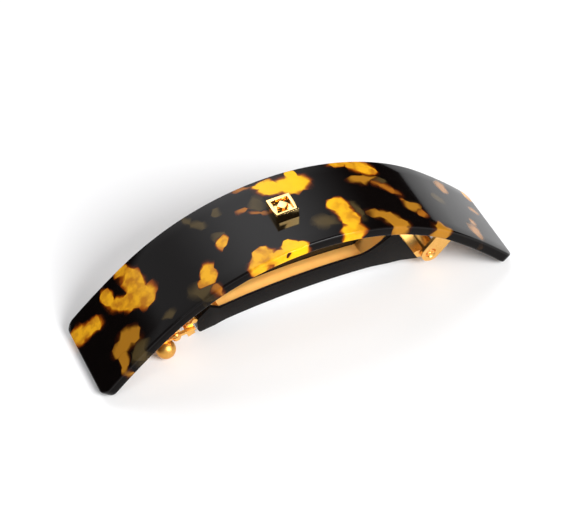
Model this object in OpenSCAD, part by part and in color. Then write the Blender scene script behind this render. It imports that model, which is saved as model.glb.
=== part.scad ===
// French barrette: a curved acetate shell with a spring clip riveted under it.
// X runs along the shell, Y across it, Z up. The shell stands on its two end edges,
// with the origin on that plane under the middle of the crown.

/* [Shell] */
// Length of the shell, measured along its outer face
shell_len = 104; // [92:1:126]
// Width of the shell
shell_w = 20; // [14:0.5:26]
// Thickness of the acetate sheet
shell_t = 2.3; // [1.9:0.1:2.9]
// Radius of the outer face over the crown
crown_r = 50.4; // [44:0.2:62]
// Length of the crown on each side of the middle
crown_s = 35; // [28:1:42]
// Radius of the flatter outer face towards the ends
end_r = 135; // [100:5:170]
// Radius of the four corners
corner_r = 2.2; // [1:0.1:4]

/* [Emblem] */
// Length of the emblem along the shell
emblem_len = 4.8; // [4.4:0.1:7]
// Width of the emblem across the shell
emblem_w = 4.7; // [4:0.1:7]
// Height of the emblem above the shell
emblem_h = 2.1; // [1.4:0.1:2.5]
// Place of the emblem along the shell
emblem_s = -2.5; // [-6:0.5:6]

/* [Base plate and hinge] */
// Thickness of the base plate and its ears
plate_t = 0.7; // [0.5:0.05:0.9]
// Place of the hinge along the shell
hinge_s = 38.4; // [34:0.2:42]
// Depth of the hinge pin below the outer face
hinge_n = 9.4; // [8:0.1:11]
// Diameter of the hinge pin
pin_d = 1.6; // [1.2:0.05:2]
// Diameter of the rivet shanks
rivet_d = 1.3; // [1:0.05:1.6]

/* [Arm] */
// Width of the arm cover along its middle
arm_w = 5.6; // [4.6:0.1:6.8]
// Height of the cover's rails above its underside
rail_h = 4; // [3.2:0.1:4.8]
// Radius of the arm's underside
arm_r = 140; // [115:5:170]
// Thickness of the arm core
core_t = 0.5; // [0.4:0.05:0.65]
// Thickness of the tension spring
leaf_t = 0.3; // [0.2:0.05:0.4]
// Depth of the tension spring below the rails
leaf_sink = 1.6; // [1.2:0.1:1.8]

/* [Catch] */
// Place of the catch along the shell
catch_s = 33.6; // [31:0.2:36]
// Depth of the catch below the outer face
catch_n = 11.2; // [10.4:0.1:12]
// Slope of the release levers
catch_tilt = 22; // [18:1:26]
// Distance of each release lever from the middle
lever_y = 4.2; // [3.9:0.1:4.6]
// Thickness of a release lever
lever_t = 0.8; // [0.6:0.05:1]
// Diameter of the finger balls
ball_d = 4; // [3.4:0.1:4.2]
// Diameter of the lever posts
post_d = 1.2; // [1:0.05:1.4]

/* [Hidden] */
$fn = 64;

// Colours
amber = "#6b3a14";
gold = "#e3b565";
black = "#161413";

// Clearances
fit = 0.02;
run = 0.04;
side_gap = 0.25;
seat_gap = 0.03;

// Widths that follow the arm: its wide ends, and the gap between the ears that they turn in
flare = 0.25;
block_w = arm_w + 2 * flare;
ear_gap = block_w + 2 * side_gap;
plate_w = ear_gap;

// Shell curve: s is the distance along the outer face and n the depth below it
half_len = shell_len / 2;
crown_turn = crown_s / crown_r * 180 / PI;
end_turn = crown_turn + (half_len - crown_s) / end_r * 180 / PI;
function turn(s) = sign(s) * (abs(s) < crown_s ? abs(s) / crown_r * 180 / PI
    : crown_turn + (abs(s) - crown_s) / end_r * 180 / PI);
function reach(a) = a < crown_s ? crown_r * sin(turn(a))
    : crown_r * sin(crown_turn) + end_r * (sin(turn(a)) - sin(crown_turn));
function fall(a) = a < crown_s ? crown_r * (1 - cos(turn(a)))
    : crown_r * (1 - cos(crown_turn)) + end_r * (cos(crown_turn) - cos(turn(a)));
rise = fall(half_len) + shell_t * cos(end_turn);
function pt(s, n) = [sign(s) * reach(abs(s)) - n * sin(turn(s)), rise - fall(abs(s)) - n * cos(turn(s))];

// Stations every millimetre, the same for every band, so that faces which touch share their facets
function stations(s0, s1) = concat([s0], [for (s = [ceil(s0 + 0.01):floor(s1 - 0.01)]) s], [s1]);
function band(s0, s1, n0, n1) = let (st = stations(s0, s1), k = len(st))
    concat([for (s = st) pt(s, n0)], [for (i = [k - 1:-1:0]) pt(st[i], n1)]);

// A strip of even thickness along a path in the side view
function unit(v) = v / norm(v);
function side_of(path, i) = let (k = len(path), a = path[max(i - 1, 0)], b = path[min(i + 1, k - 1)],
    d = unit(b - a)) [-d[1], d[0]];
function ribbon(path, t) = let (k = len(path))
    concat([for (i = [0:k - 1]) path[i] + side_of(path, i) * t / 2],
    [for (i = [k - 1:-1:0]) path[i] - side_of(path, i) * t / 2]);

// Extrude a side view across the barrette
module across(w) {
    rotate([90, 0, 0]) linear_extrude(w, center = true) children();
}

// Local frame on the shell: X along the outer face, Z out of it
module on_shell(s, n = 0) {
    translate([pt(s, n)[0], 0, pt(s, n)[1]]) rotate([0, turn(s), 0]) children();
}

// Base plate
plate_top = shell_t;
plate_under = shell_t + plate_t;
ear_half = ear_gap / 2 + plate_t;
ear_r = pin_d / 2 + 1.3;
plate_end_s = hinge_s + ear_r + 0.6;
plate_catch_s = catch_s + 6;
sink_d = pin_d + 0.7;
sink_h = 0.25;
pin_inset = 0.1;

// Rivets
rivet_head_d = rivet_d + 1;
rivet_head_h = 0.5;
rivet_bite = shell_t * 0.6;
rivet_s = [-15, 15, 30];

// Emblem
prong_d = 1;
prong_gap = 2.4;
prong_len = 1.5;
emblem_rim = 0.65;
emblem_dip = 1;
emblem_root = 1;

// Hinge, catch and the line between them that the arm is drawn on
hinge = pt(hinge_s, hinge_n);
catch = pt(-catch_s, catch_n);
arm_len = norm(hinge - catch);
arm_turn = atan2(catch[1] - hinge[1], hinge[0] - catch[0]);
module on_arm() {
    translate([catch[0], 0, catch[1]]) rotate([0, arm_turn, 0]) children();
}

// Underside of the arm: a shallow arch between its nose and its heel
nose_u = 3;
nose_drop = 2.7;
heel_u = arm_len - 2.5;
heel_drop = 0.8;
function under(u) = -nose_drop + (nose_drop - heel_drop) * (u - nose_u) / (heel_u - nose_u)
    + (u - nose_u) * (heel_u - u) / (2 * arm_r);
nose_low = under(nose_u);
function along(u0, u1, h) = let (k = ceil((u1 - u0) / 2)) [for (i = [0:k]) let (u = u0 + (u1 - u0) * i / k)
    [u, under(u) + h]];
function flip(a) = [for (i = [len(a) - 1:-1:0]) a[i]];

// Arm cover
wall = 0.55;
pocket_w = arm_w - 2 * wall;
floor_h = 0.8;
core_h = floor_h + core_t;
heel_top = rail_h + 4.2;
toe_top = rail_h - 0.6;
nose_front = 2.3;
leaf_low = rail_h - leaf_sink - leaf_t;
toe_foot = 7.2;
heel_foot = arm_len - 14;
trough_ends = [4.8, arm_len - 8.2];
leaf_ends = [trough_ends[0] + 0.35, trough_ends[1] - 0.6];
heel_face = 0.3;
wide_ends = [6, arm_len - 9.5];
taper = [2.5, 3.5];

// Arm core
core_w = pocket_w - 0.1;
tongue_w = 4;
tongue_t = 0.6;
tongue_out = 0.9;
knuckle_r = pin_d / 2 + 0.9;

// Catch, in its own frame: X outward along the lever, Z towards the shell
module on_catch() {
    translate([catch[0], 0, catch[1]]) rotate([0, catch_tilt, 180]) children();
}
lever_in = lever_y - lever_t / 2;
lever_h = 0.6;
lever_p = [-1.3, 5.5];
lever_slope = 0.234;
function lever_top(p) = 0.5 + p * lever_slope;
hook_bite = 0.4;
hook_gap = 0.12;
hook_t = 0.6;
hook_p = [-0.9, 0.7];
hook_low = -tongue_t / 2 - hook_gap - hook_t;
lobe_d = 1.15;
lobe_y = [lever_in - 0.4, lever_in + 0.2];
lobe_at = [[-0.6, 0.95], [-1.95, 1.25]];
neck_t = 0.5;
post_p = 2.6;
post_top = 5;
boss_d = post_d + 0.7;
boss_z = [0.35, 1.3];
seat_low = 2.3;
seat_p = [post_p - 1.3, post_p + 1.3];
seat_w = 2 * lever_y + 1.4;
flange_w = 5;
flange_t = 0.6;
flange_reach = [4.5, 2];
seat_block = 12;
seat_rivet_s = catch_s - 5;
seat_arch = 3.6;
ball_at = [5.7, lever_y, -0.9];
peg_d = 0.8;
peg_p = 5.05;
peg_low = -0.6;
wire_d = 0.3;
coil_turns = 3;

module shell() color(amber) {
    difference() {
        across(shell_w) polygon(band(-half_len, half_len, 0, shell_t));
        for (e = [-1, 1], y = [-1, 1]) shell_corner(e, y);
        for (s = rivet_s) on_shell(s, plate_top) rivet_hole(rivet_bite);
        on_shell(-seat_rivet_s, plate_top) rivet_hole(rivet_bite);
        on_shell(emblem_s) prongs(prong_len + 0.1, prong_d + fit);
    }
}

// What a rounded corner leaves out of the sheet, drawn along the sheet's own normal
module shell_corner(e, y) {
    cut = 2 * corner_r;
    deep = 6 * shell_t;
    on_shell(e * half_len) translate([-e * corner_r, y * (shell_w / 2 - corner_r), -deep / 2]) difference() {
        translate([e > 0 ? 0 : -cut, y > 0 ? 0 : -cut, 0]) cube([cut, cut, deep]);
        translate([0, 0, -1]) cylinder(r = corner_r, h = deep + 2);
    }
}

// Hole for a rivet's shank, up to a depth above the plate's top
module rivet_hole(depth) {
    translate([0, 0, -2]) cylinder(d = rivet_d + fit, h = depth + 2);
}

module prongs(h, d) {
    for (x = [-1, 1]) translate([x * prong_gap / 2, 0, -h]) cylinder(d = d, h = h);
}

// Plain gold plaque with a sunk panel and a raised lozenge
module emblem() color(gold) {
    lozenge = (min(emblem_len, emblem_w) - 2 * emblem_rim) * 0.5;
    difference() {
        on_shell(emblem_s) difference() {
            translate([-emblem_len / 2, -emblem_w / 2, -emblem_root])
                cube([emblem_len, emblem_w, emblem_h + emblem_root]);
            translate([emblem_rim - emblem_len / 2, emblem_rim - emblem_w / 2, emblem_h - emblem_dip])
                cube([emblem_len - 2 * emblem_rim, emblem_w - 2 * emblem_rim, emblem_dip + 1]);
        }
        across(shell_w) polygon(band(emblem_s - emblem_len, emblem_s + emblem_len, 0, 2 * emblem_root));
    }
    on_shell(emblem_s) translate([0, 0, emblem_h - emblem_dip]) rotate(45)
        translate([-lozenge / 2, -lozenge / 2, 0]) cube([lozenge, lozenge, emblem_dip]);
    on_shell(emblem_s) prongs(prong_len, prong_d);
}

module base_plate() color(gold) {
    difference() {
        union() {
            across(plate_w) polygon(band(-plate_catch_s, plate_end_s, plate_top, plate_under));
            across(2 * ear_half) polygon(band(hinge_s - ear_r, hinge_s + ear_r, plate_top, plate_under));
            for (y = [-1, 1]) ear(y);
        }
        for (s = rivet_s) on_shell(s, plate_top) rivet_seat(plate_t);
        on_shell(-seat_rivet_s, plate_top) rivet_hole(plate_t);
    }
}

// Ear bent down from the plate's edge, drilled for the pin and countersunk outside
module ear(y) {
    on_shell(hinge_s) difference() {
        translate([0, y * (ear_gap + plate_t) / 2, 0]) rotate([90, 0, 0]) union() {
            translate([-ear_r, -hinge_n, -plate_t / 2])
                cube([2 * ear_r, hinge_n - plate_top - plate_t / 2, plate_t]);
            translate([0, -hinge_n, 0]) cylinder(r = ear_r, h = plate_t, center = true);
        }
        translate([0, 0, -hinge_n]) rotate([90, 0, 0])
            cylinder(d = pin_d + fit, h = shell_w, center = true);
        translate([0, y * ear_half, -hinge_n]) rotate([y * 90, 0, 0])
            cylinder(d1 = sink_d, d2 = pin_d, h = 2 * sink_h);
    }
}

// Hole for a rivet that passes through a stack of strips, with a flat seat for its head
module rivet_seat(stack) {
    rivet_hole(plate_t);
    translate([0, 0, -stack - rivet_head_h]) cylinder(d = rivet_head_d + fit, h = rivet_head_h);
}

module rivet(deep, stack) {
    translate([0, 0, -stack]) cylinder(d = rivet_d, h = stack + deep);
    translate([0, 0, -stack - rivet_head_h]) cylinder(d1 = rivet_head_d * 0.6, d2 = rivet_head_d, h = rivet_head_h);
}

module base_rivets() color(gold) {
    for (s = rivet_s) on_shell(s, plate_top) rivet(rivet_bite - 0.05, plate_t);
}

module seat_rivet() color(gold) {
    on_shell(-seat_rivet_s, plate_top) rivet(rivet_bite - 0.05, plate_t + flange_t);
}

// Pin with a dimpled end that sits just inside each ear
module hinge_pin() color(gold) {
    len = 2 * ear_half - 2 * pin_inset;
    on_shell(hinge_s, hinge_n) rotate([90, 0, 0]) difference() {
        cylinder(d = pin_d, h = len, center = true);
        for (e = [-1, 1]) translate([0, 0, e * len / 2]) sphere(d = pin_d * 0.55);
    }
}

// Saddle that carries the two lever posts
module catch_seat() color(gold) {
    difference() {
        union() {
            intersection() {
                on_catch() translate([seat_p[0], -seat_w / 2, seat_low])
                    cube([seat_p[1] - seat_p[0], seat_w, seat_block]);
                across(seat_w) polygon(band(-half_len, -catch_s + seat_block, plate_under, plate_under + seat_block));
            }
            across(flange_w) polygon(band(-seat_rivet_s - flange_reach[0], -seat_rivet_s + flange_reach[1],
                plate_under, plate_under + flange_t));
        }
        on_catch() for (y = [-1, 1]) translate([post_p, y * lever_y, seat_low - 1])
            cylinder(d = post_d + 2 * run, h = post_top - seat_low + 1.2);
        on_catch() translate([seat_p[0] - 1, boss_d / 2 - lever_y, seat_low - 1])
            cube([seat_p[1] - seat_p[0] + 2, 2 * lever_y - boss_d, seat_arch]);
        on_shell(-seat_rivet_s, plate_top) rivet_seat(plate_t + flange_t);
    }
}

// Torsion spring round each lever post, wound as closed rings
module catch_springs() color(gold) {
    for (y = [-1, 1], i = [0:coil_turns - 1])
        on_catch() translate([post_p, y * lever_y, seat_low - wire_d * (0.5 + 0.95 * i)])
            rotate_extrude() translate([post_d / 2 + 0.1 + wire_d / 2, 0]) circle(d = wire_d);
}

// Release lever: hook at its inner end, post in the middle and a peg for the ball at its outer end
module catch_lever(y) color(gold) {
    on_catch() mirror([0, y < 0 ? 1 : 0, 0]) {
        lever_slice(lever_in, lever_t) lever_side();
        lever_hook();
        lever_slice(lobe_y[0], lobe_y[1] - lobe_y[0]) lobe_side();
        translate([post_p, lever_y, boss_z[0]]) cylinder(d = boss_d, h = boss_z[1] - boss_z[0]);
        translate([post_p, lever_y, boss_z[0]]) cylinder(d = post_d, h = post_top - boss_z[0]);
        translate([peg_p, lever_y, peg_low]) cylinder(d = peg_d, h = lever_top(peg_p) - peg_low - 0.1);
    }
}

// Extrude a lever's side view across, from y over a width w
module lever_slice(y, w) {
    translate([0, y + w, 0]) rotate([90, 0, 0]) linear_extrude(w) children();
}

// Side view of the lever's strip, grown by a clearance where the ball is slotted for it
module lever_side(grow = 0) {
    start = [lever_p[0] - grow, lever_top(lever_p[0])];
    end = [lever_p[1] + grow, lever_top(lever_p[1])];
    above = [0, grow];
    below = [0, lever_h + grow];
    polygon([start + above, end + above, end - below, start - below]);
}

// Finger that reaches in under the arm's tongue
module lever_hook() {
    length = hook_p[1] - hook_p[0];
    reach_in = tongue_w / 2 - hook_bite;
    translate([hook_p[0], reach_in, hook_low]) cube([length, lever_in + lever_t - reach_in, hook_t]);
    translate([hook_p[0], lever_in, hook_low]) cube([length, lever_t, lever_top(hook_p[0]) - hook_low]);
}

// Two round lobes on a bent neck, which guide the tongue between the levers
module lobe_side() {
    for (c = lobe_at) translate(c) circle(d = lobe_d);
    polygon([lobe_at[0] + [0, neck_t / 2], lobe_at[1] + [0, neck_t / 2], lobe_at[1] - [0, neck_t / 2],
        lobe_at[0] - [0, neck_t / 2]]);
    translate([lobe_at[0][0] - lobe_d / 2, 0]) square([lobe_d, lobe_at[0][1]]);
}

// Finger ball, drilled for the lever's peg
module catch_ball(y) color(gold) {
    on_catch() mirror([0, y < 0 ? 1 : 0, 0]) difference() {
        translate(ball_at) sphere(d = ball_d);
        translate([peg_p, lever_y, peg_low - fit]) cylinder(d = peg_d + fit, h = ball_d);
        lever_slice(lever_in - fit, lever_t + 2 * fit) lever_side(fit);
    }
}

// Rim of the rails, with a rounded rise from the middle to the heel
rise_start = [heel_foot - 2, under(heel_foot - 2) + rail_h];
rise_bend = [heel_foot + 1, under(heel_foot + 1) + rail_h];
rise_end = [trough_ends[1] - heel_face, heel_top];
rim_rise = [for (t = [0:0.125:1]) (1 - t) * (1 - t) * rise_start + 2 * t * (1 - t) * rise_bend + t * t * rise_end];

// Side view of the cover: underside, slanted heel, rails and nose
heel_tip = [heel_u, under(heel_u) - 0.5];
heel_back = [trough_ends[1] + heel_face, heel_top];
module cover_side() {
    polygon(concat(along(nose_u, heel_u - 4, 0), [heel_tip, heel_back], flip(rim_rise),
        flip(along(toe_foot, rise_start[0] - 1, rail_h)), [[4.9, toe_top], [nose_front + 0.3, 1.2],
        [nose_front, 0.5], [nose_front, nose_low + 0.9], [nose_front + 0.4, nose_low + 0.15]]));
}

// Plan of the cover: the ends are a little wider than the middle
module cover_plan() {
    e = block_w / 2;
    m = arm_w / 2;
    half = [[0, e], [wide_ends[0], e], [wide_ends[0] + taper[0], m], [wide_ends[1] - taper[1], m],
        [wide_ends[1], e], [arm_len, e]];
    polygon(concat(half, [for (p = flip(half)) [p[0], -p[1]]]));
}

// Side view of the trough, open at the top, with a ledge at each end for the leaf to rest on
module trough_side() {
    ledge = leaf_low - seat_gap;
    open_top = heel_top + 6;
    polygon(concat([[trough_ends[0], toe_top + 0.1], [toe_foot, under(toe_foot) + ledge]],
        along(toe_foot + 1, heel_foot - 1, core_h),
        [[heel_foot, under(heel_foot) + ledge], [trough_ends[1], heel_top + 0.1],
        [trough_ends[1], open_top], [trough_ends[0], open_top]]));
}

module arm_cover() color(black) {
    on_arm() difference() {
        intersection() {
            across(ear_gap) cover_side();
            translate([0, 0, -20]) linear_extrude(60) cover_plan();
        }
        across(pocket_w) trough_side();
        across(pocket_w) polygon(ribbon(core_path(), core_t + fit));
    }
}

// Middle line of the core, from the tongue through the cover to the heel
tongue_drop = tongue_out * tan(catch_tilt - arm_turn);
function core_path() = concat([[-tongue_out, -tongue_drop], [1.1, 0.42], [2.6, 0.2]],
    along(5.5, arm_len - 6, floor_h + core_t / 2), [[arm_len - 2, 0.1]]);

// Side view of the neck between the heel's slanted end and the knuckle
module neck_side() {
    edge = heel_back - heel_tip;
    polygon([heel_tip + edge * 0.03, heel_tip + edge * 0.2, [arm_len, knuckle_r * 0.6],
        [arm_len, -knuckle_r * 0.9]]);
}

module arm_core() color(gold) {
    on_arm() difference() {
        union() {
            difference() {
                across(core_w) polygon(ribbon(core_path(), core_t));
                for (y = [-1, 1])
                    translate([-2, y > 0 ? tongue_w / 2 : -shell_w - tongue_w / 2, -3]) cube([3.2, shell_w, 6]);
            }
            across(block_w) neck_side();
            translate([arm_len, 0, 0]) rotate([90, 0, 0]) cylinder(r = knuckle_r, h = block_w, center = true);
        }
        translate([arm_len, 0, 0]) rotate([90, 0, 0]) cylinder(d = pin_d + 2 * run, h = shell_w, center = true);
    }
}

// Bowed leaf that stands above the trough's floor, with both ends turned up
module tension_spring() color(gold) {
    path = concat([[leaf_ends[0], toe_top + 0.15]],
        along(toe_foot + 0.3, heel_foot - 0.3, leaf_low + leaf_t / 2), [[leaf_ends[1], heel_top + 0.2]]);
    on_arm() across(pocket_w - 0.2) polygon(ribbon(path, leaf_t));
}

shell();
emblem();
base_plate();
base_rivets();
hinge_pin();
catch_seat();
seat_rivet();
catch_springs();
catch_lever(1);  // catch_lever_near
catch_lever(-1);  // catch_lever_far
catch_ball(1);  // catch_ball_near
catch_ball(-1);  // catch_ball_far
arm_cover();
arm_core();
tension_spring();
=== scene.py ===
# %% [markdown]
# # A tortoiseshell barrette
# A French barrette is a strip of cellulose acetate, bent over a warm former, with a spring clip
# riveted under it. The lesson builds it the way the bench does: the sheet is cut flat, its edges
# are rounded, and only then is it bent. The clip's small metal parts come from the CAD frame and
# get the soft edges that stamping, tumbling and plating leave on real ones.

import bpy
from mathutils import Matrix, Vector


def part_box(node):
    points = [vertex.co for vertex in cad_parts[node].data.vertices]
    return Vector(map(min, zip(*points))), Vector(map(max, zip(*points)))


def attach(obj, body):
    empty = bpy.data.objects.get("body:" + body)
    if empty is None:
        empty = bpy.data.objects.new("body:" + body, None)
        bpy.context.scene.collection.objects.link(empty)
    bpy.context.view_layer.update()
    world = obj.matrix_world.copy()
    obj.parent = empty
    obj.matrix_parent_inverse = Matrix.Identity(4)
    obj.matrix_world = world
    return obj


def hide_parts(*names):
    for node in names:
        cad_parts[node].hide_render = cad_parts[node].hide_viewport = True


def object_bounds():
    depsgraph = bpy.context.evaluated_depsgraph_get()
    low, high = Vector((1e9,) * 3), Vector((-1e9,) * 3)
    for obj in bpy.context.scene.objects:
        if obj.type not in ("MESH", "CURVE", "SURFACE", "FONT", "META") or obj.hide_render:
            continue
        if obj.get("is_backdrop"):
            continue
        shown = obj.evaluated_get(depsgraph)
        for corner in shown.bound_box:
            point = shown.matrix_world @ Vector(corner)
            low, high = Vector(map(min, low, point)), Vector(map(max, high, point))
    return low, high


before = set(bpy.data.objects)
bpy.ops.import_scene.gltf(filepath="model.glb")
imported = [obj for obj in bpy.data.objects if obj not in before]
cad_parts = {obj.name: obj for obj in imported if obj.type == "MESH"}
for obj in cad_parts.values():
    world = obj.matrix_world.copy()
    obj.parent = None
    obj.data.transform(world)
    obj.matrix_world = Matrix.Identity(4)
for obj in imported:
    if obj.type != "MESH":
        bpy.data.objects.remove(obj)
cad_low, cad_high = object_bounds()

# %% [markdown]
# ## Helpers
# Real sizes on a part this small are easiest to read in millimetres, so every size below is in
# millimetres and is multiplied by `MM` where Blender needs metres. Colours are written as sRGB
# hex values, as a colour picker shows them, and one function turns them to linear light.

# %% Units, colours and one function that adds a node
import math

import bmesh
import bpy
from mathutils import Matrix, Vector

MM = 0.001


def linear(hex_colour, alpha=1.0):
    """sRGB hex to the linear RGBA that shaders work in."""
    parts = [int(hex_colour[i:i + 2], 16) / 255 for i in (1, 3, 5)]
    return [c / 12.92 if c <= 0.04045 else ((c + 0.055) / 1.055) ** 2.4 for c in parts] + [alpha]


def add(tree, kind, inputs=None, **settings):
    """Adds a node, sets its settings, and links or sets the inputs given by name or number."""
    made = tree.nodes.new(kind)
    for name, value in settings.items():
        setattr(made, name, value)
    for key, value in (inputs or {}).items():
        if isinstance(value, bpy.types.NodeSocket):
            tree.links.new(value, made.inputs[key])
        else:
            made.inputs[key].default_value = value
    return made


def math_node(tree, operation, *values):
    """The output of one Math node, so that a formula reads from the inside out."""
    return add(tree, "ShaderNodeMath", dict(enumerate(values)), operation=operation).outputs[0]


# %% Meshes and objects
def mesh_from(bm, name):
    """A mesh with the contents of a bmesh, which is then freed."""
    mesh = bpy.data.meshes.new(name)
    bm.to_mesh(mesh)
    bm.free()
    return mesh


def linked(name, data):
    """A new object in the scene for a mesh, a light or a camera."""
    made = bpy.data.objects.new(name, data)
    bpy.context.collection.objects.link(made)
    return made


def applied(source, name):
    """A plain object with the source's modifiers made real. The source is removed."""
    ready = source.evaluated_get(bpy.context.evaluated_depsgraph_get())
    result = bpy.data.meshes.new_from_object(ready)
    bpy.data.objects.remove(source)
    return linked(name, result)


# %% [markdown]
# ## The former that the sheet is bent over
# The outer face follows two arcs that meet smoothly: a crown of about 50 mm radius, and flatter
# ends. The same two arcs give every place under the shell, so they are written once, as a
# Python function for single points and below as a node tree for the whole sheet.

# %% The shell's curve
SHELL_LENGTH, SHELL_WIDTH, SHELL_THICK = 104.0, 20.0, 2.3
CROWN_RADIUS, CROWN_REACH, END_RADIUS = 50.4, 35.0, 135.0
CORNER_RADIUS, EDGE_RADIUS = 2.2, 0.4
shell_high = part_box("shell")[1]
RISE = shell_high[2] / MM


def heading(s):
    """How far the face has turned, in radians, at s along it from the middle of the crown."""
    a = abs(s)
    turned = min(a, CROWN_REACH) / CROWN_RADIUS + max(a - CROWN_REACH, 0) / END_RADIUS
    return math.copysign(turned, s)


def on_sheet(s, y, n):
    """The place, in metres, of a point s along the outer face, y across it and n below it."""
    h, h1 = abs(heading(s)), min(abs(s), CROWN_REACH) / CROWN_RADIUS
    reach = CROWN_RADIUS * math.sin(h1) + END_RADIUS * (math.sin(h) - math.sin(h1))
    fall = CROWN_RADIUS * (1 - math.cos(h1)) + END_RADIUS * (math.cos(h1) - math.cos(h))
    x = math.copysign(reach - n * math.sin(h), s)
    return Vector((x, y, RISE - fall - n * math.cos(h))) * MM


tip = on_sheet(SHELL_LENGTH / 2, 0, 0)
print(f"shell tip {tip.x / MM:.2f} mm, the frame says {shell_high[0] / MM:.2f} mm")

# %% [markdown]
# ## Gilt, black and tortoiseshell finishes
# Gold plate over brass is a thin bright film. It copies the polish of what is under it, so the
# plaque is a mirror, the tumbled balls and stamped strips are softer, and the spring leaf keeps the
# fine grain of rolled strip.


# %% Nodes that every finish uses
def new_material(name):
    """An empty node material with its Principled shader and output."""
    material = bpy.data.materials.new(name)
    material.use_nodes = True
    tree = material.node_tree
    tree.nodes.clear()
    shader = add(tree, "ShaderNodeBsdfPrincipled")
    add(tree, "ShaderNodeOutputMaterial", {"Surface": shader.outputs[0]})
    return material, tree, shader


def noise(tree, place, size, detail):
    """Noise with features of about `size`, in the units that `place` is measured in."""
    return add(tree, "ShaderNodeTexNoise", {"Vector": place, "Scale": 1 / size, "Detail": detail})


NOISE_LOW, NOISE_HIGH = 0.3, 0.7


def uneven(tree, value, low, high):
    """Spreads noise, which keeps to the middle of 0 to 1, over a range of roughness."""
    return add(tree, "ShaderNodeMapRange", {
        "Value": value, "From Min": NOISE_LOW, "From Max": NOISE_HIGH,
        "To Min": low, "To Max": high}).outputs[0]


# %% Gold plate
TONE_SIZE, GRAIN_DEPTH = 2.5 * MM, 0.01 * MM


def gold_plate(name, colour, rough, rough_spread, grain_mm, bump, stretch=(1, 1, 1), brushed=0.0):
    """Electroplated gold: metallic, with a fine uneven polish at the grain's real size."""
    material, tree, shader = new_material(name)
    shader.inputs["Metallic"].default_value = 1.0
    place = add(tree, "ShaderNodeTexCoord").outputs["Object"]
    # Object coordinates are metres, so a scale of 1 / grain gives features of that size
    grain_scale = [k / (grain_mm * MM) for k in stretch]
    grain = add(tree, "ShaderNodeMapping", {"Vector": place, "Scale": grain_scale}).outputs[0]
    fine = noise(tree, grain, 1.0, 3.0).outputs[0]
    tone = add(tree, "ShaderNodeValToRGB", {"Fac": noise(tree, place, TONE_SIZE, 2.0).outputs[0]})
    darker, lighter = tone.color_ramp.elements
    darker.position, lighter.position = 0.35, 0.65
    darker.color, lighter.color = linear(colour[0]), linear(colour[1])
    relief = add(tree, "ShaderNodeBump", {"Height": fine, "Strength": bump, "Distance": GRAIN_DEPTH})
    tree.links.new(tone.outputs[0], shader.inputs["Base Color"])
    tree.links.new(uneven(tree, fine, rough, rough + rough_spread), shader.inputs["Roughness"])
    tree.links.new(relief.outputs[0], shader.inputs["Normal"])
    if brushed:
        # Grain along the strip spreads a reflection across it, and the tangent says which way that is
        shader.inputs["Anisotropic"].default_value = brushed
        across = add(tree, "ShaderNodeCombineXYZ", {1: 1.0})
        tree.links.new(across.outputs[0], shader.inputs["Tangent"])
    return material


# Mirror gilt: barrel-polished before plating
mirror_gilt = gold_plate("mirror_gilt", ("#ffd184", "#ffdc96"), 0.09, 0.05, 0.25, 0.05)
# Bead gilt: turned balls, tumbled with the levers, which leaves them soft rather than bright
bead_gilt = gold_plate("bead_gilt", ("#dea14a", "#e8ae58"), 0.36, 0.1, 0.2, 0.15)
# Stamped gilt: strip as it leaves the press and the plating bath
stamped_gilt = gold_plate("stamped_gilt", ("#f6bb62", "#fec672"), 0.24, 0.12, 0.12, 0.15)
# Satin gilt: rolled spring strip, whose grain runs along it
satin_gilt = gold_plate("satin_gilt", ("#ffc068", "#ffc870"), 0.42, 0.08, 0.1, 0.3,
                        stretch=(0.15, 1, 1), brushed=0.85)
print("gold finishes:", [m.name for m in (mirror_gilt, bead_gilt, stamped_gilt, satin_gilt)])

# %% [markdown]
# The arm's cover is black acetate, moulded and flame polished. Nothing is perfectly black: the
# dye lets a little brown through, and the polish leaves a very shallow swell that bends the
# reflections of the studio.


# %% Black acetate
SWELL_SIZE, SWELL_DEPTH, DUST_SIZE = 3.0 * MM, 0.05 * MM, 0.3 * MM


def black_acetate():
    """Polished black moulding: a thin clear skin over almost no diffuse colour."""
    material, tree, shader = new_material("black_acetate")
    place = add(tree, "ShaderNodeTexCoord").outputs["Object"]
    swell = noise(tree, place, SWELL_SIZE, 1.0).outputs[0]
    dust = noise(tree, place, DUST_SIZE, 3.0).outputs[0]
    tone = add(tree, "ShaderNodeValToRGB", {"Fac": swell})
    tone.color_ramp.elements[0].color = linear("#0b0a0a")
    tone.color_ramp.elements[1].color = linear("#171311")
    relief = add(tree, "ShaderNodeBump", {"Height": swell, "Strength": 0.25, "Distance": SWELL_DEPTH})
    tree.links.new(tone.outputs[0], shader.inputs["Base Color"])
    tree.links.new(uneven(tree, dust, 0.1, 0.18), shader.inputs["Roughness"])
    tree.links.new(relief.outputs[0], shader.inputs["Normal"])
    shader.inputs["IOR"].default_value = 1.49
    # Kept low, because the arm stands over a white table and is still seen as black
    shader.inputs["Specular IOR Level"].default_value = 0.1
    return material


black = black_acetate()
print("made", black.name)
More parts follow.
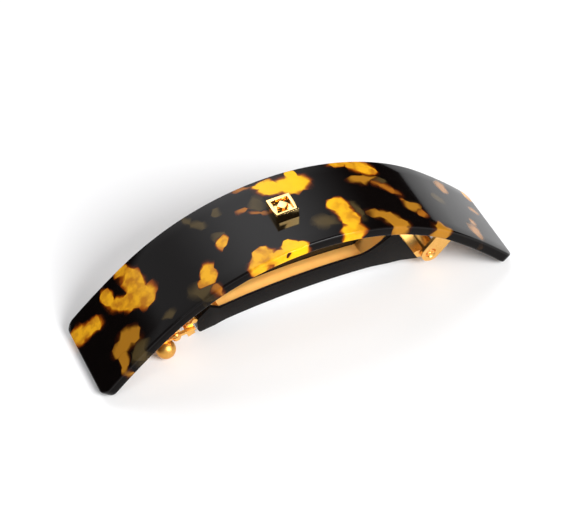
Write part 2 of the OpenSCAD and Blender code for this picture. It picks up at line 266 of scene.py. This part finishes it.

# %% [markdown]
# ## Tortoiseshell acetate
# The sheet is sliced from a block of near-black acetate into which chips of amber acetate were
# pressed. So the pattern belongs to the flat sheet and goes right through it, and amber thins out
# over dark in an orange-brown fringe. Each chip here is one or more leaning ovals,
# `(along, across, half length, half width, lean)` in millimetres and degrees on the flat sheet,
# that melt together. A cell field then gives their outlines short straight facets, and noise bends
# them as the press does. The ovals could be random, but a maker chooses the cut of the sheet, so
# they are listed one by one.

# %% Where the chips lie
AMBER_CHIPS = [
    (-50.5, 5.6, 3.0, 2.2, -10), (-46.8, 4.4, 2.6, 1.9, -25),
    (-41.0, 6.6, 1.5, 2.5, 8), (-38.6, 2.9, 3.8, 1.5, -35), (-34.2, 4.6, 2.4, 4.4, 4),
    (-33.6, 0.1, 2.8, 2.4, 0), (-36.6, 1.6, 2.2, 2.0, -20), (-35.4, 9.2, 1.3, 1.5, 0),
    (-20.8, -5.0, 1.4, 2.6, -20), (-22.2, -6.6, 1.6, 1.1, 10),
    (-15.8, -0.7, 1.2, 1.8, -25),
    (-11.0, -8.8, 3.0, 1.9, 0), (-10.4, -7.0, 1.6, 1.3, 0), (-7.6, -9.9, 2.4, 0.9, 0),
    (-4.5, -9.2, 2.5, 1.6, 0), (-4.6, -7.8, 1.3, 1.2, 0),
    (-2.0, 6.7, 3.2, 2.2, -10), (2.3, 6.2, 3.7, 2.5, 0),
    (3.1, 9.0, 1.2, 1.9, 0), (-3.8, 8.5, 1.5, 0.9, 0),
    (8.6, -2.6, 2.2, 2.5, 0), (8.9, -6.0, 2.1, 2.6, 0), (8.2, -9.2, 2.4, 2.0, 0),
    (18.5, 7.9, 3.1, 2.2, -15), (14.0, 9.4, 2.8, 1.0, 5), (50.4, 9.1, 1.8, 1.8, 0),
]
# Brown chips: the same amber with a skin of dark over it
BROWN_CHIPS = [
    (-42.2, -4.6, 3.2, 2.0, 15), (-39.4, -5.2, 1.9, 1.8, 0), (-44.2, -7.9, 1.2, 2.3, -35),
    (17.0, 4.3, 3.2, 1.2, 5), (16.2, -6.2, 3.1, 1.5, -25), (18.2, -8.6, 2.8, 1.8, -28),
    (29.0, -9.4, 2.4, 1.6, 0), (25.0, -3.6, 2.2, 1.8, 0),
]
# Chips that lie a little under the face, or thin out: darker, with more brown in them
DEEP_CHIPS = [
    (21.2, 1.6, 3.3, 1.1, -32), (26.0, -5.6, 1.3, 1.5, 0), (23.2, -2.2, 0.8, 1.3, 0),
    (-7.0, 9.4, 2.2, 0.6, -10), (-9.0, 4.2, 1.7, 0.4, 0), (-6.2, 2.0, 2.2, 0.5, -25),
    (-21.0, -9.2, 1.2, 1.1, 0),
]
# Peach chips: thin slivers near the face, over black
PEACH_CHIPS = [
    (40.4, 7.0, 2.3, 2.3, 0), (41.5, -6.5, 2.0, 2.6, 0), (42.9, -3.2, 0.9, 1.7, -20),
    (48.2, 2.8, 2.0, 1.2, 0),
]
# Olive ghosts: chips far below the face
GHOST_CHIPS = [
    (-31.2, -7.3, 1.6, 1.2, 0), (-15.3, 1.0, 1.6, 1.4, 0), (-19.5, 8.6, 1.0, 1.6, 15),
    (-18.0, 6.3, 2.2, 1.1, -30), (-13.6, 7.0, 0.8, 1.4, 10), (-6.0, 4.2, 1.6, 1.8, 0),
    (3.9, -5.5, 2.8, 2.0, 0), (11.3, -4.2, 1.4, 3.0, 0), (25.0, -3.4, 2.4, 2.0, 0),
    (35.3, 1.2, 2.2, 1.5, 0), (-40.0, -8.4, 2.6, 1.6, 20), (20.4, 3.8, 2.2, 1.5, -15),
    (-23.6, -7.6, 3.0, 2.1, -20),
]
print("ovals:", len(AMBER_CHIPS), len(BROWN_CHIPS), len(DEEP_CHIPS), len(PEACH_CHIPS), len(GHOST_CHIPS))


# %% Melt the ovals together
MELT = 0.25
THROUGH = 1000.0


def chip_field(tree, place, chips):
    """Distance from the middle of the nearest oval, in units of that oval's own size.

    An oval is `THROUGH` millimetres deep, so depth in the sheet makes no difference.
    """
    nearest = None
    for along, across, half_long, half_wide, lean in chips:
        local = add(tree, "ShaderNodeMapping", {
            "Vector": place, "Location": (along, across, 0), "Rotation": (0, 0, math.radians(lean)),
            "Scale": (half_long, half_wide, THROUGH)}, vector_type="TEXTURE")
        far = add(tree, "ShaderNodeVectorMath", {0: local.outputs[0]}, operation="LENGTH").outputs["Value"]
        nearest = far if nearest is None else math_node(tree, "SMOOTH_MIN", nearest, far, MELT)
    return nearest


def step_down(tree, field, inside, outside):
    """1 where a field is below `inside`, 0 where it is above `outside`, and soft between."""
    return add(tree, "ShaderNodeMapRange", {
        "Value": field, "From Min": inside, "From Max": outside, "To Min": 1.0, "To Max": 0.0},
        interpolation_type="SMOOTHSTEP").outputs[0]


# %% The acetate itself
def mix_colours(tree, factor, under, over):
    """Colour `over` laid on `under` by factor."""
    return add(tree, "ShaderNodeMix", {0: factor, 6: under, 7: over}, data_type="RGBA").outputs[2]


def mix_vectors(tree, factor, first, second):
    """The point a given part of the way from one vector to another."""
    return add(tree, "ShaderNodeMix", {0: factor, 4: first, 5: second}, data_type="VECTOR").outputs[1]


# All in millimetres on the flat sheet, apart from the pull, which is a share of the way
FACET_SIZE, FACET_PULL = 2.1, 0.36
FLOWS = ((4.5, 1.0), (1.3, 0.16))
CLOUD_SIZE, MOTTLE_SIZE, HAZE_SIZE = 3.0, 2.2, 0.5
# Where the painted highlight over the crown is full and where it has faded out, in millimetres along the
# sheet
CROWN_PAINTED_LIGHT = (3.0, 12.0)
FACE_GLOSS, EDGE_GLOSS = 0.16, 0.06
EDGE_STARTS = (-0.5, -0.35)


def pressed_place(tree, sheet):
    """Where a point of the sheet lay before the block was pressed."""
    # The chips were broken from brittle sheet, so their outlines run in short straight facets:
    # every point is pulled part of the way towards the middle of a cell about two millimetres wide
    cells = add(tree, "ShaderNodeTexVoronoi", {"Vector": sheet, "Scale": 1 / FACET_SIZE, "Smoothness": 0.3},
                feature="SMOOTH_F1")
    place = mix_vectors(tree, FACET_PULL, sheet, cells.outputs["Position"])
    # Then the press lets them flow a little, once broadly and once finely
    for size, amount in FLOWS:
        centred = add(tree, "ShaderNodeVectorMath", {
            0: noise(tree, sheet, size, 1.0).outputs["Color"], 1: (0.5, 0.5, 0.5)}, operation="SUBTRACT")
        pushed = add(tree, "ShaderNodeVectorMath", {0: centred.outputs[0], "Scale": 2 * amount},
                     operation="SCALE")
        moved = add(tree, "ShaderNodeVectorMath", {0: place, 1: pushed.outputs[0]}, operation="ADD")
        place = moved.outputs[0]
    return place


def chip_layers(tree, sheet, along):
    """The sheet's colour: near-black, with the chips laid over it from the deepest to the nearest."""
    place = pressed_place(tree, sheet)
    ghost, deep, peach, brown, amber = (chip_field(tree, place, chips) for chips in (
        GHOST_CHIPS, DEEP_CHIPS, PEACH_CHIPS, BROWN_CHIPS, AMBER_CHIPS))
    cloud = noise(tree, sheet, CLOUD_SIZE, 4.0).outputs[0]
    mottle = noise(tree, sheet, MOTTLE_SIZE, 2.0).outputs[0]
    mottle = add(tree, "ShaderNodeMapRange", {"Value": mottle, "From Min": 0.36, "From Max": 0.6}).outputs[0]
    # Amber is painted yellower over the crown, a painted highlight where the light falls most, and browner
    # towards the ends
    crown = step_down(tree, math_node(tree, "ABSOLUTE", along), *CROWN_PAINTED_LIGHT)
    honey = mix_colours(tree, mottle, linear("#b8741a"), linear("#e6a71e"))
    honey = mix_colours(tree, math_node(tree, "MULTIPLY", crown, 0.85), honey, linear("#fcc408"))
    body = mix_colours(tree, cloud, linear("#060404"), linear("#0c0807"))
    # Each layer: field, inner and outer edge, strength, colour; later layers lie over earlier ones
    for field, inside, outside, strength, colour in (
            (ghost, 0.45, 1.2, 0.6, linear("#5c4c2c")),
            (deep, 0.7, 1.4, 0.85, linear("#58240a")), (deep, 0.4, 1.05, 0.85, linear("#a8661c")),
            (peach, 0.3, 1.2, 0.85, linear("#c08850")),
            (brown, 0.9, 1.35, 0.9, linear("#3a1605")), (brown, 0.7, 1.1, 0.95, linear("#a9721f")),
            (amber, 1.0, 1.32, 0.9, linear("#3e1804")), (amber, 0.9, 1.14, 1.0, linear("#9a4a0a")),
            (amber, 0.8, 1.0, 1.0, honey)):
        cover = math_node(tree, "MULTIPLY", step_down(tree, field, inside, outside), strength)
        body = mix_colours(tree, cover, body, colour)
    return body


def tortoiseshell():
    """Cellulose acetate, tumbled and buffed: a clear glossy skin over the chips."""
    material, tree, shader = new_material("tortoiseshell_acetate")
    sheet = add(tree, "ShaderNodeAttribute", attribute_name="sheet").outputs["Vector"]
    along, _, depth = add(tree, "ShaderNodeSeparateXYZ", {0: sheet}).outputs
    tree.links.new(chip_layers(tree, sheet, along), shader.inputs["Base Color"])
    # Buffing leaves an even gloss with a trace of haze
    haze = noise(tree, sheet, HAZE_SIZE, 3.0).outputs[0]
    tree.links.new(uneven(tree, haze, 0.05, 0.09), shader.inputs["Roughness"])
    shader.inputs["IOR"].default_value = 1.5
    # The face is buffed; the edges and underside are only tumbled, and reflect less
    gloss = add(tree, "ShaderNodeMapRange", {
        "Value": step_down(tree, depth, *EDGE_STARTS), "To Min": FACE_GLOSS, "To Max": EDGE_GLOSS})
    tree.links.new(gloss.outputs[0], shader.inputs["Specular IOR Level"])
    return material


acetate = tortoiseshell()
print("tortoiseshell has", len(acetate.node_tree.nodes), "nodes")

# %% [markdown]
# ## The shell
# It could be carved as one curved mesh, but a real one is a flat blank first. So the blank is
# lofted flat, one closed section after another, with its rounded corners and tumbled edges. A
# Geometry Nodes tree then bends it, and stores where each point lay on the flat sheet, which
# the finish above reads so that no chip is stretched by the bend.


# %% The flat blank
EDGE_STEPS, CORNER_STEPS, FLAT_STEPS = 4, 16, 8
STATION_GAP = 0.5
MERGE = 0.002


def blank_section(s):
    """Closed outline across the blank at s: half a turn of edge at each side, flat between."""
    half = SHELL_LENGTH / 2
    into_corner = max(0.0, abs(s) - (half - CORNER_RADIUS))
    width = SHELL_WIDTH / 2 - CORNER_RADIUS + math.sqrt(max(CORNER_RADIUS ** 2 - into_corner ** 2, 0))
    into_edge = max(0.0, abs(s) - (half - EDGE_RADIUS))
    thin = EDGE_RADIUS - math.sqrt(max(EDGE_RADIUS ** 2 - into_edge ** 2, 0))
    outward = [math.pi / 2 * k / EDGE_STEPS for k in range(EDGE_STEPS + 1)]
    points = []
    for side, level in ((1, 1), (1, -1), (-1, -1), (-1, 1)):
        for angle in outward if side * level > 0 else reversed(outward):
            y = side * (width - EDGE_RADIUS + EDGE_RADIUS * math.sin(angle))
            depth = EDGE_RADIUS * (1 - math.cos(angle)) + thin * math.cos(angle)
            points.append((y, -depth if level > 0 else depth - SHELL_THICK))
    return points


def add_flats(points):
    """Divides the two long flats of a section, so that light runs evenly over them."""
    out = []
    for i, p in enumerate(points):
        q = points[(i + 1) % len(points)]
        out.append(p)
        if abs(q[0] - p[0]) > 2:
            out += [(p[0] + (q[0] - p[0]) * k / FLAT_STEPS, p[1]) for k in range(1, FLAT_STEPS)]
    return out


def stations():
    """Places along half the blank: at even gaps, and closer where the end rounds off."""
    half = SHELL_LENGTH / 2
    corner = half - CORNER_RADIUS
    places = [k * STATION_GAP for k in range(int(corner / STATION_GAP) + 1)]
    places += [corner + CORNER_RADIUS * math.sin(math.pi / 2 * k / CORNER_STEPS)
               for k in range(1, CORNER_STEPS + 1)]
    places += [half - EDGE_RADIUS * (1 - math.sin(math.pi / 2 * k / EDGE_STEPS)) for k in range(EDGE_STEPS)]
    return sorted(set(round(p, 4) for p in places))


def loft(name, places, section):
    """A closed mesh through the same outline at many places along X."""
    bm = bmesh.new()
    rings = [[bm.verts.new(Vector((s, y, z)) * MM) for y, z in section(s)] for s in places]
    for a, b in zip(rings, rings[1:]):
        for i in range(len(a)):
            j = (i + 1) % len(a)
            bm.faces.new((a[i], a[j], b[j], b[i]))
    bm.faces.new(rings[0])
    bm.faces.new(reversed(rings[-1]))
    bmesh.ops.remove_doubles(bm, verts=bm.verts, dist=MERGE * MM)
    bmesh.ops.recalc_face_normals(bm, faces=bm.faces)
    mesh = mesh_from(bm, name)
    mesh.shade_smooth()
    return mesh


half_places = stations()
all_places = [-p for p in reversed(half_places[1:])] + half_places
blank = loft("blank", all_places, lambda s: add_flats(blank_section(s)))
print("blank:", len(blank.vertices), "points,", len(blank.polygons), "faces")


# %% The bend, as Geometry Nodes
def new_geometry_tree(name, inputs):
    """A Geometry Nodes tree with one geometry in and out, and its own named inputs."""
    tree = bpy.data.node_groups.new(name, "GeometryNodeTree")
    tree.interface.new_socket("Geometry", in_out="INPUT", socket_type="NodeSocketGeometry")
    for label, kind in inputs:
        tree.interface.new_socket(label, in_out="INPUT", socket_type=kind)
    tree.interface.new_socket("Geometry", in_out="OUTPUT", socket_type="NodeSocketGeometry")
    return tree, add(tree, "NodeGroupInput")


def finish_tree(tree, geometry, material_socket):
    """Every tree ends the same way: real geometry, with its material on it."""
    real = add(tree, "GeometryNodeRealizeInstances", {0: geometry}).outputs[0]
    dressed = add(tree, "GeometryNodeSetMaterial", {"Geometry": real, "Material": material_socket})
    add(tree, "NodeGroupOutput", {0: dressed.outputs[0]})
    return tree


def bend_tree():
    """Bends a flat sheet over a former made of a crown arc and two flatter end arcs."""
    tree, given = new_geometry_tree("bend_over_former", [
        ("Crown radius", "NodeSocketFloat"), ("Crown reach", "NodeSocketFloat"),
        ("End radius", "NodeSocketFloat"), ("Rise", "NodeSocketFloat"), ("Material", "NodeSocketMaterial")])
    sizes = ("Crown radius", "Crown reach", "End radius", "Rise")
    crown, reach, end, rise = (given.outputs[k] for k in sizes)
    flat = add(tree, "GeometryNodeInputPosition").outputs[0]
    in_mm = add(tree, "ShaderNodeVectorMath", {0: flat, "Scale": 1 / MM}, operation="SCALE").outputs[0]
    kept = add(tree, "GeometryNodeStoreNamedAttribute", {
        "Geometry": given.outputs[0], "Name": "sheet", "Value": in_mm},
        data_type="FLOAT_VECTOR", domain="POINT")
    s, y, z = add(tree, "ShaderNodeSeparateXYZ", {0: flat}).outputs
    side = math_node(tree, "SIGN", s)
    away = math_node(tree, "ABSOLUTE", s)
    near = math_node(tree, "DIVIDE", math_node(tree, "MINIMUM", away, reach), crown)
    over = math_node(tree, "MAXIMUM", math_node(tree, "SUBTRACT", away, reach), 0.0)
    turned = math_node(tree, "ADD", near, math_node(tree, "DIVIDE", over, end))
    sin_near, cos_near = math_node(tree, "SINE", near), math_node(tree, "COSINE", near)
    sin_turn, cos_turn = math_node(tree, "SINE", turned), math_node(tree, "COSINE", turned)
    out_end = math_node(tree, "MULTIPLY", end, math_node(tree, "SUBTRACT", sin_turn, sin_near))
    out = math_node(tree, "MULTIPLY_ADD", crown, sin_near, out_end)
    x = math_node(tree, "MULTIPLY", side, math_node(tree, "MULTIPLY_ADD", z, sin_turn, out))
    fall_crown = math_node(tree, "MULTIPLY", crown, math_node(tree, "SUBTRACT", 1.0, cos_near))
    fall = math_node(tree, "MULTIPLY_ADD", end, math_node(tree, "SUBTRACT", cos_near, cos_turn), fall_crown)
    up = math_node(tree, "MULTIPLY_ADD", z, cos_turn, math_node(tree, "SUBTRACT", rise, fall))
    bent = add(tree, "ShaderNodeCombineXYZ", {0: x, 1: y, 2: up}).outputs[0]
    moved = add(tree, "GeometryNodeSetPosition", {"Geometry": kept.outputs[0], "Position": bent})
    return finish_tree(tree, moved.outputs[0], given.outputs["Material"])


def run_tree(name, mesh, tree, **values):
    """Applies a tree to a mesh and gives back a plain object that holds the result."""
    source = linked(name + "_source", mesh)
    modifier = source.modifiers.new("nodes", "NODES")
    modifier.node_group = tree
    for item in tree.interface.items_tree:
        label = item.name.replace(" ", "_").lower()
        if item.in_out == "INPUT" and label in values:
            modifier[item.identifier] = values[label]
    return applied(source, name)


def place_piece(piece, body, slot, *nodes):
    """Attaches the piece to what it rides on and hides the CAD nodes it stands for; slot is not used."""
    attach(piece, body)
    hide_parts(*nodes)
    print(f"{piece.name}: {len(piece.data.polygons)} faces, rides on {body}")


shell = run_tree("tortoiseshell_shell", blank, bend_tree(), material=acetate, rise=RISE * MM,
                 crown_radius=CROWN_RADIUS * MM, crown_reach=CROWN_REACH * MM, end_radius=END_RADIUS * MM)
place_piece(shell, "root", "tortoiseshell_acetate", "shell")

# %% [markdown]
# ## Metal parts with tumbled edges
# A stamped part leaves the press with sharp edges, and tumbling rounds them by about a tenth of
# a millimetre. That thin bright line along each edge is most of what makes small metalwork look
# real. Each part here is a copy of its CAD node: the loose triangles are joined, flat faces are
# merged again, and a Bevel modifier rounds what is left.


# %% Copy a CAD node and round its edges
LOOSE, FLAT_WITHIN, SHARP_ABOVE = 0.001 * MM, math.radians(0.2), math.radians(40)
ROUND_ABOVE = math.radians(30)


def tumbled(name, node, body, slot, material, edge, steps=3):
    """A copy of a CAD node with its sharp edges rounded by `edge` millimetres."""
    bm = bmesh.new()
    bm.from_mesh(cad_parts[node].data)
    bmesh.ops.remove_doubles(bm, verts=bm.verts, dist=LOOSE)
    bmesh.ops.dissolve_limit(bm, angle_limit=FLAT_WITHIN, verts=bm.verts, edges=bm.edges)
    source = linked(name + "_source", mesh_from(bm, name))
    bevel = source.modifiers.new("tumble", "BEVEL")
    bevel.width = edge * MM
    bevel.segments = steps
    bevel.limit_method = "ANGLE"
    bevel.angle_limit = ROUND_ABOVE
    bevel.harden_normals = False
    piece = applied(source, name)
    piece.data.shade_smooth()
    piece.data.set_sharp_from_angle(angle=SHARP_ABOVE)
    piece.data.materials.clear()
    piece.data.materials.append(material)
    place_piece(piece, body, slot, node)
    return piece


tumbled("plaque", "emblem", "root", "polished_gilt", mirror_gilt, 0.15)
tumbled("hinge_plate", "base_plate", "root", "gilt_strip", stamped_gilt, 0.1)
tumbled("axle", "hinge_pin", "root", "gilt_strip", stamped_gilt, 0.08)
tumbled("saddle", "catch_seat", "root", "gilt_strip", stamped_gilt, 0.1)
tumbled("arm_shell", "arm_cover", "arm", "black_acetate", black, 0.18, steps=4)
tumbled("arm_strip", "arm_core", "arm", "gilt_strip", stamped_gilt, 0.08)
tumbled("leaf", "tension_spring", "arm", "satin_gilt", satin_gilt, 0.05)
for side in ("near", "far"):
    tumbled(f"lever_{side}", f"catch_lever_{side}", f"lever_{side}", "gilt_strip", stamped_gilt, 0.08)
    tumbled(f"ball_{side}", f"catch_ball_{side}", f"lever_{side}", "polished_gilt", bead_gilt, 0.05)

# %% [markdown]
# ## Rivets and torsion springs
# Four rivets hold the clip. Each is one turned shape, so it is lathed once and a Geometry Nodes
# tree sets a copy at every hole, leaning with the curve of the shell there. The two torsion
# springs are wire, so a second tree sweeps a round section along a helix, and the first tree
# sets that coil on both lever posts.


# %% Lathe a profile
def lathe(name, profile, steps=32):
    """A closed mesh from (radius, height) points in millimetres, turned about Z."""
    bm = bmesh.new()
    rings = []
    for radius, height in profile:
        angles = [0.0] if radius == 0 else [math.tau * k / steps for k in range(steps)]
        places = [Vector((radius * math.cos(a), radius * math.sin(a), height)) for a in angles]
        rings.append([bm.verts.new(place * MM) for place in places])
    for a, b in zip(rings, rings[1:]):
        for k in range(steps):
            corners = [a[k % len(a)], a[(k + 1) % len(a)], b[(k + 1) % len(b)], b[k % len(b)]]
            bm.faces.new(list(dict.fromkeys(corners)))
    bmesh.ops.recalc_face_normals(bm, faces=bm.faces)
    mesh = mesh_from(bm, name)
    mesh.shade_smooth()
    mesh.set_sharp_from_angle(angle=LATHE_SHARP_ABOVE)
    return mesh


LATHE_SHARP_ABOVE = math.radians(50)
RIVET_RADIUS, HEAD_RADIUS, HEAD_HEIGHT, RIVET_BITE = 0.65, 1.15, 0.5, 1.33
PLATE_THICK, FLANGE_THICK = 0.7, 0.6
DOME_STEPS = 8


def rivet_mesh(name, stack):
    """Domed head under a stack of strips, and the shank that goes up into the acetate."""
    angles = [math.pi / 2 * k / DOME_STEPS for k in range(DOME_STEPS + 1)]
    dome = [(HEAD_RADIUS * math.sin(a), -stack - HEAD_HEIGHT * math.cos(a)) for a in angles]
    return lathe(name, dome + [(RIVET_RADIUS, -stack), (RIVET_RADIUS, RIVET_BITE), (0, RIVET_BITE)])


# %% Trees that wind a coil and set parts on points
def coil_tree():
    """A helix of round wire about Z."""
    tree, given = new_geometry_tree("wind_coil", [
        ("Wire radius", "NodeSocketFloat"), ("Coil radius", "NodeSocketFloat"),
        ("Height", "NodeSocketFloat"), ("Turns", "NodeSocketFloat"), ("Material", "NodeSocketMaterial")])
    coil = given.outputs["Coil radius"]
    helix = add(tree, "GeometryNodeCurveSpiral", {
        "Resolution": 32, "Rotations": given.outputs["Turns"], "Start Radius": coil, "End Radius": coil,
        "Height": given.outputs["Height"]})
    section = add(tree, "GeometryNodeCurvePrimitiveCircle", {
        "Resolution": 12, "Radius": given.outputs["Wire radius"]})
    wire = add(tree, "GeometryNodeCurveToMesh", {
        "Curve": helix.outputs[0], "Profile Curve": section.outputs[0], "Fill Caps": True})
    return finish_tree(tree, wire.outputs[0], given.outputs["Material"])


def set_parts_tree():
    """Sets one part on every point, leaning about Y by the point's own angle."""
    tree, given = new_geometry_tree("set_parts", [
        ("Part", "NodeSocketObject"), ("Material", "NodeSocketMaterial")])
    part = add(tree, "GeometryNodeObjectInfo", {"Object": given.outputs["Part"]})
    lean = add(tree, "GeometryNodeInputNamedAttribute", {"Name": "lean"}, data_type="FLOAT").outputs[0]
    turn = add(tree, "ShaderNodeCombineXYZ", {1: lean}).outputs[0]
    copies = add(tree, "GeometryNodeInstanceOnPoints", {
        "Points": given.outputs[0], "Instance": part.outputs["Geometry"], "Rotation": turn})
    return finish_tree(tree, copies.outputs[0], given.outputs["Material"])


parts_tree = set_parts_tree()


def set_parts(name, mesh, places, leans):
    """Copies of a mesh at some places, joined in one piece."""
    points = bpy.data.meshes.new(name + "_points")
    points.from_pydata(places, [], [])
    points.attributes.new("lean", "FLOAT", "POINT").data.foreach_set("value", leans)
    part = linked(name + "_part", mesh)
    piece = run_tree(name, points, parts_tree, part=part, material=stamped_gilt)
    bpy.data.objects.remove(part)
    return piece


# %% Set the rivets
RIVET_PLACES, SEAT_RIVET_PLACE = (-15.0, 15.0, 30.0), -28.6


def set_rivets(name, stack, places):
    """Rivets through a stack of strips, at places along the shell."""
    return set_parts(name, rivet_mesh(name + "_shape", stack),
                     [on_sheet(s, 0, SHELL_THICK) for s in places], [heading(s) for s in places])


plate_rivets = set_rivets("plate_rivets", PLATE_THICK, RIVET_PLACES)
place_piece(plate_rivets, "root", "gilt_strip", "base_rivets")
saddle_rivet = set_rivets("saddle_rivet", PLATE_THICK + FLANGE_THICK, [SEAT_RIVET_PLACE])
place_piece(saddle_rivet, "root", "gilt_strip", "seat_rivet")

# %% Wind the torsion springs and set them on their posts
CATCH_PLACE, CATCH_DEPTH, CATCH_TILT = -33.6, 11.2, math.radians(22)
POST_OUT, POST_SIDE = 2.6, 4.2
WIRE_RADIUS, COIL_RADIUS, COIL_LOW, COIL_HEIGHT, COIL_TURNS = 0.14, 0.85, 1.58, 0.57, 2.0


def in_catch(p, y, z):
    """The place of a point of the catch: p outward along the levers, z towards the shell."""
    c, s = math.cos(CATCH_TILT), math.sin(CATCH_TILT)
    return on_sheet(CATCH_PLACE, 0, CATCH_DEPTH) + Vector((-p * c - z * s, -y, z * c - p * s)) * MM


coil = run_tree("coil", bpy.data.meshes.new("nothing"), coil_tree(), material=stamped_gilt, turns=COIL_TURNS,
                wire_radius=WIRE_RADIUS * MM, coil_radius=COIL_RADIUS * MM, height=COIL_HEIGHT * MM)
posts = [in_catch(POST_OUT, y, COIL_LOW) for y in (-POST_SIDE, POST_SIDE)]
springs = set_parts("torsion_springs", coil.data, posts, [-CATCH_TILT, -CATCH_TILT])
bpy.data.objects.remove(coil)
place_piece(springs, "root", "gilt_strip", "catch_springs")

# %% [markdown]
# ## Studio
# Polished acetate shows the room more than itself. The shell's right end mirrors the pale table,
# its middle mirrors a wide panel behind the set that fades at its sides, and the stretch between
# them mirrors the unlit room, which gives the black band with a sharp edge. A large softbox at
# the front right draws the light line on the near edge, reaches in under the shell to the leaf and
# lights the near finger ball. The weak softbox at the left, the low panel in front and the even
# light overhead only fill: each adds a few levels to the shadows.

# %% Floor
FLOOR_REACH = 3.0
corners = [(x * FLOOR_REACH, y * FLOOR_REACH, 0) for x, y in ((-1, -1), (1, -1), (1, 1), (-1, 1))]
floor_mesh = bpy.data.meshes.new("floor")
floor_mesh.from_pydata(corners, [], [(0, 1, 2, 3)])
floor = linked("floor", floor_mesh)
paper, _, paper_shader = new_material("white_paper")
paper_shader.inputs["Base Color"].default_value = linear("#f4f4f4")
paper_shader.inputs["Roughness"].default_value = 0.9
floor.data.materials.append(paper)
floor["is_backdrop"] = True

# %% Panels and lights
BACK_PANEL, FRONT_PANEL, ROOM = 3.0, 0.5, 0.01
BACK_SIDE_GLOW = 0.3


def soft_step(tree, value, start, end):
    """0 before start, 1 after end, with a soft edge between; start may be above end."""
    return add(tree, "ShaderNodeMapRange", {"Value": value, "From Min": start, "From Max": end},
               interpolation_type="SMOOTHSTEP").outputs[0]


def studio_world():
    """A dark room with one wide soft panel behind the set and another low in front of it.

    Each panel is the product of soft steps over the direction (x right, y back, z up).
    """
    world = bpy.data.worlds.new("studio")
    world.use_nodes = True
    tree = world.node_tree
    tree.nodes.clear()
    direction = add(tree, "ShaderNodeTexCoord").outputs["Generated"]
    x, y, z = add(tree, "ShaderNodeSeparateXYZ", {0: direction}).outputs
    # The back panel is brightest in its middle and fades out to the left, right and down
    left = math_node(tree, "MULTIPLY_ADD", soft_step(tree, x, -0.5, 0.0), 1 - BACK_SIDE_GLOW, BACK_SIDE_GLOW)
    sideways = math_node(tree, "MULTIPLY", left, soft_step(tree, x, 0.7, 0.05))
    upright = math_node(tree, "MULTIPLY", soft_step(tree, y, 0.3, 0.5), soft_step(tree, z, 0.3, 0.45))
    back = math_node(tree, "MULTIPLY", sideways, upright)
    front = math_node(tree, "MULTIPLY", soft_step(tree, y, -0.15, -0.5), soft_step(tree, z, 0.02, 0.25))
    glow = math_node(tree, "MULTIPLY_ADD", back, BACK_PANEL, math_node(tree, "MULTIPLY", front, FRONT_PANEL))
    strength = math_node(tree, "ADD", glow, ROOM)
    background = add(tree, "ShaderNodeBackground", {"Color": linear("#fdfdff"), "Strength": strength})
    add(tree, "ShaderNodeOutputWorld", {"Surface": background.outputs[0]})
    return world


bpy.context.scene.world = studio_world()
# Softboxes aimed at the barrette: place, width and height in metres, and watts
SOFTBOXES = {
    "edge_box": ((0.36, -0.84, 0.72), 0.6, 0.5, 15.0),
    "left_box": ((-0.75, -0.45, 0.85), 0.3, 0.3, 1.2),
}
BOX_AIM = Vector((0.0, 0.0, 0.015))
for name, (place, width, height, watts) in SOFTBOXES.items():
    light = bpy.data.lights.new(name, "AREA")
    light.shape, light.size, light.size_y, light.energy = "RECTANGLE", width, height, watts
    lamp = linked(name, light)
    lamp.location = place
    lamp.rotation_euler = (BOX_AIM - Vector(place)).to_track_quat("-Z", "Y").to_euler()

FILL_STRENGTH, FILL_SPREAD, FILL_TILT = 0.4, math.radians(60), (math.radians(25), math.radians(-12), 0)
fill = bpy.data.lights.new("even_light", "SUN")
fill.energy, fill.angle = FILL_STRENGTH, FILL_SPREAD
fill_lamp = linked("even_light", fill)
fill_lamp.rotation_euler = FILL_TILT
# The overhead light only fills: its round outline would be odd in the polished faces
fill_lamp.visible_glossy = False
bpy.context.scene.view_settings.view_transform = "Standard"

# %% [markdown]
# ## Camera
# A long lens from well above and to the left shows the crown, the near edge and the open side of
# the clip at once. The camera is placed by its distance and angles from a point on the barrette.

# %% Camera
CAMERA_AIM = Vector((-5.2, -6.9, 19.4)) * MM
CAMERA_DISTANCE = 385.0
CAMERA_AZIMUTH, CAMERA_ELEVATION, CAMERA_ROLL = -25.3, 46.4, 0.64
LENS, SENSOR = 128.2, 36.0
azimuth, elevation = math.radians(CAMERA_AZIMUTH), math.radians(CAMERA_ELEVATION)
level = math.cos(elevation)
away = Vector((math.sin(azimuth) * level, -math.cos(azimuth) * level, math.sin(elevation)))
camera_data = bpy.data.cameras.new("camera")
camera_data.lens, camera_data.sensor_width = LENS, SENSOR
camera = linked("camera", camera_data)
roll = Matrix.Rotation(math.radians(CAMERA_ROLL), 3, "Z")
turn = (-away).to_track_quat("-Z", "Y").to_matrix() @ roll
camera.matrix_world = Matrix.Translation(CAMERA_AIM + away * CAMERA_DISTANCE * MM) @ turn.to_4x4()
bpy.context.scene.camera = camera
print("camera at", [round(c / MM, 1) for c in camera.location], "mm")

# %% Compare the finished size with the frame's and finish
low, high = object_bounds()
sizes = {"cad": [list(cad_low), list(cad_high)], "visual": [list(low), list(high)]}
for box_name, (box_low, box_high) in sizes.items():
    print(box_name, [round(v / MM, 2) for v in (*box_low, *box_high)])
